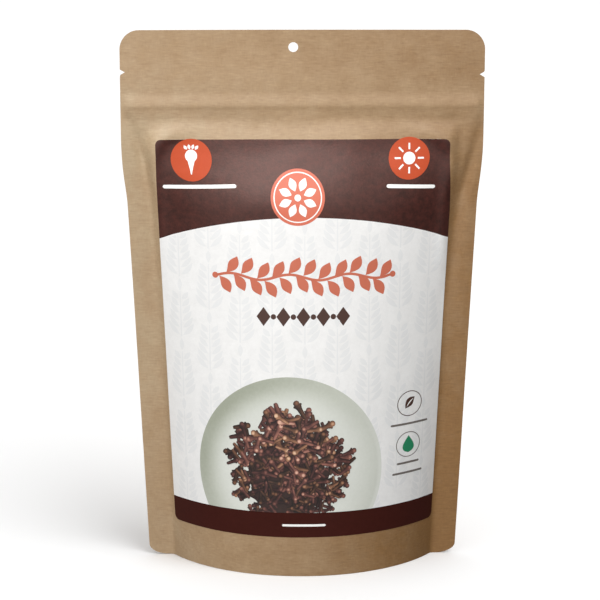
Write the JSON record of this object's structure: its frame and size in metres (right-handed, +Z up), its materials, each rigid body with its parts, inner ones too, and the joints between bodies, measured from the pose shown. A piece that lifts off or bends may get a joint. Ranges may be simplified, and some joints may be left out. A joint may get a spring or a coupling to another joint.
{
  "type": "stand-up kraft paper pouch of whole cloves",
  "caption": "Shut kraft paper stand-up pouch of whole cloves with a gusset base, zip ridge, tear notches, hang hole, curved paper label and round stickers.",
  "frame": {"origin": "middle of the pouch's base on the surface that it stands on", "axes": "+Z up to the sealed top edge, -Y out of the labelled front, +X to the right as the label is seen"},
  "size_m": [0.14, 0.0548, 0.211],
  "materials": {
    "kraft_paper": "matte kraft paper with fine fibres, heat-sealed at its edges",
    "label_paper": "printed label paper with a faint sheen: brown header and foot, pale middle with fields of colour",
    "sticker_paper": "satin orange printed paper with a plain white shape"
  },
  "bodies": {
    "root": {"pouch": "kraft_paper", "label": "label_paper", "badge_left": "sticker_paper", "badge_right": "sticker_paper"}
  },
  "joints": []
}
